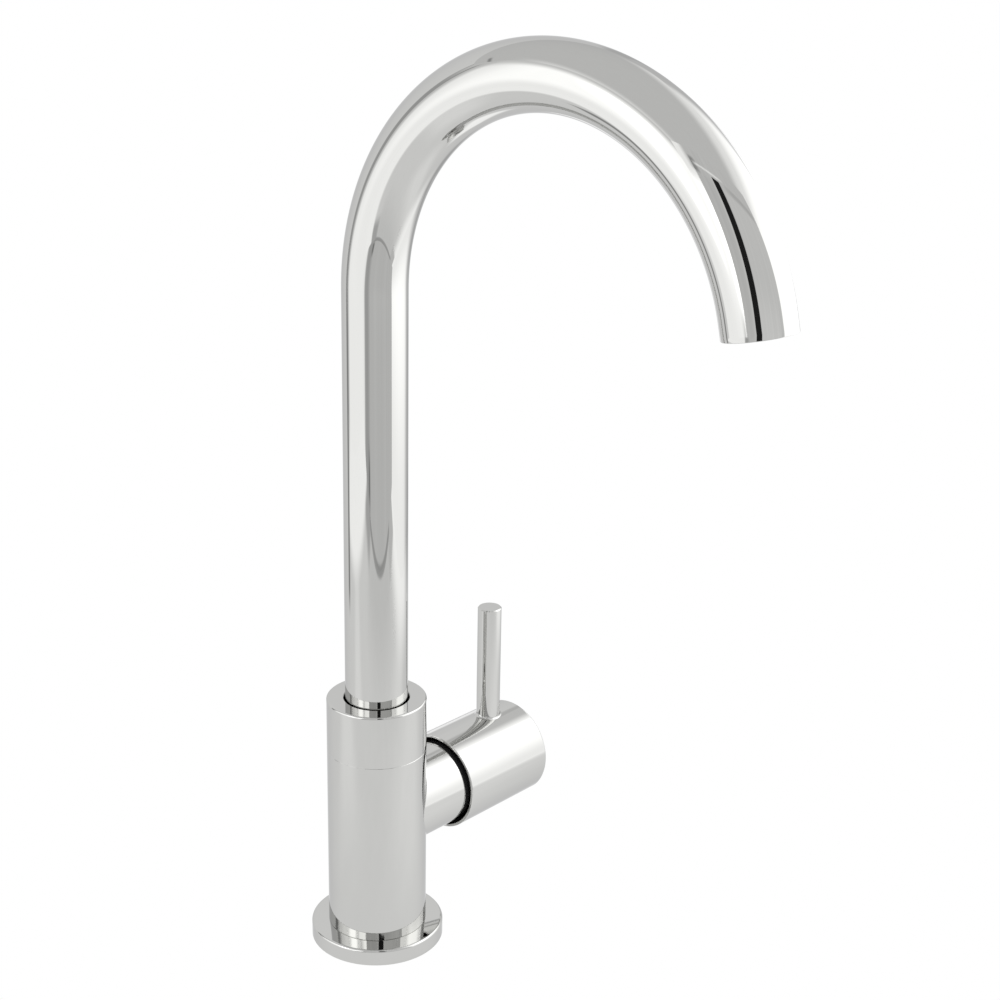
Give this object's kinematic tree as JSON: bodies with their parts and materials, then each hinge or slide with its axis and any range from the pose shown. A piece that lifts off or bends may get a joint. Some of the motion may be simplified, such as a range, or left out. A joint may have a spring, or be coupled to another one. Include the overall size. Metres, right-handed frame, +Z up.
{
  "type": "three way filtered water tap",
  "caption": "Single-hole kitchen tap with a swivelling gooseneck spout that carries two waterways and one side pin lever.",
  "frame": {"origin": "centre of the base, on the worktop", "axes": "+Z up the column, spout towards -Y, lever towards +X"},
  "size_m": [0.1091, 0.2101, 0.3715],
  "materials": {
    "chrome": "mirror-polished chrome plate",
    "brass": "machined",
    "steel": "machined",
    "rubber": "moulded, matt",
    "ceramic": "lapped ceramic",
    "white_plastic": "moulded",
    "grey_plastic": "moulded",
    "clear_plastic": "natural polyethylene",
    "black_plastic": "moulded, matt"
  },
  "bodies": {
    "tap": {"base_flange": "chrome", "base_gasket": "rubber", "tap_body": "chrome", "spout_collar": "chrome", "lower_swivel_washer": "white_plastic", "upper_swivel_washer": "white_plastic", "port_seals": "rubber", "cartridge_base": "white_plastic", "fixed_disc": "ceramic", "cartridge_shell": "white_plastic", "cartridge_sealing_ring": "rubber", "cartridge_nut": "brass", "cover_ring": "black_plastic"},
    "spout": {"spout_tube": "chrome", "spout_tail": "brass", "spout_sealing_rings": "rubber", "filtered_hose": "clear_plastic", "filtered_spigot": "brass", "filtered_sealing_ring": "rubber", "outlet_adapter": "chrome", "aerator_washer": "rubber", "aerator": "white_plastic", "filtered_nozzle": "grey_plastic"},
    "turret": {"lever_turret": "white_plastic", "stem_pivot_pin": "steel"},
    "lever": {"lever_stem": "steel", "lever_drum": "chrome", "pin_lever": "chrome", "lever_screw": "steel", "screw_plug": "grey_plastic"},
    "disc": {"moving_disc": "ceramic", "disc_carrier": "white_plastic"}
  },
  "joints": [
    {"name": "spout_swivel", "type": "hinge", "parent": "tap", "child": "spout", "pos_m": [0, 0, 0.093], "axis": [0, 0, 1], "continuous": true},
    {"name": "lever_turn", "type": "hinge", "parent": "tap", "child": "turret", "pos_m": [0.032, 0, 0.0558], "axis": [1, 0, 0], "range_deg": [-45, 45]},
    {"name": "lever_tilt", "type": "hinge", "parent": "turret", "child": "lever", "pos_m": [0.032, 0, 0.0558], "axis": [0, 1, 0], "range_deg": [0, 22]},
    {"name": "disc_slide", "type": "slide", "parent": "turret", "child": "disc", "axis": [0, 0, 1], "range_m": [0, 0.0031]}
  ],
  "couplings": [
    {"joint": "disc_slide", "follows": "lever_tilt", "m_per_rad": 0.008}
  ]
}
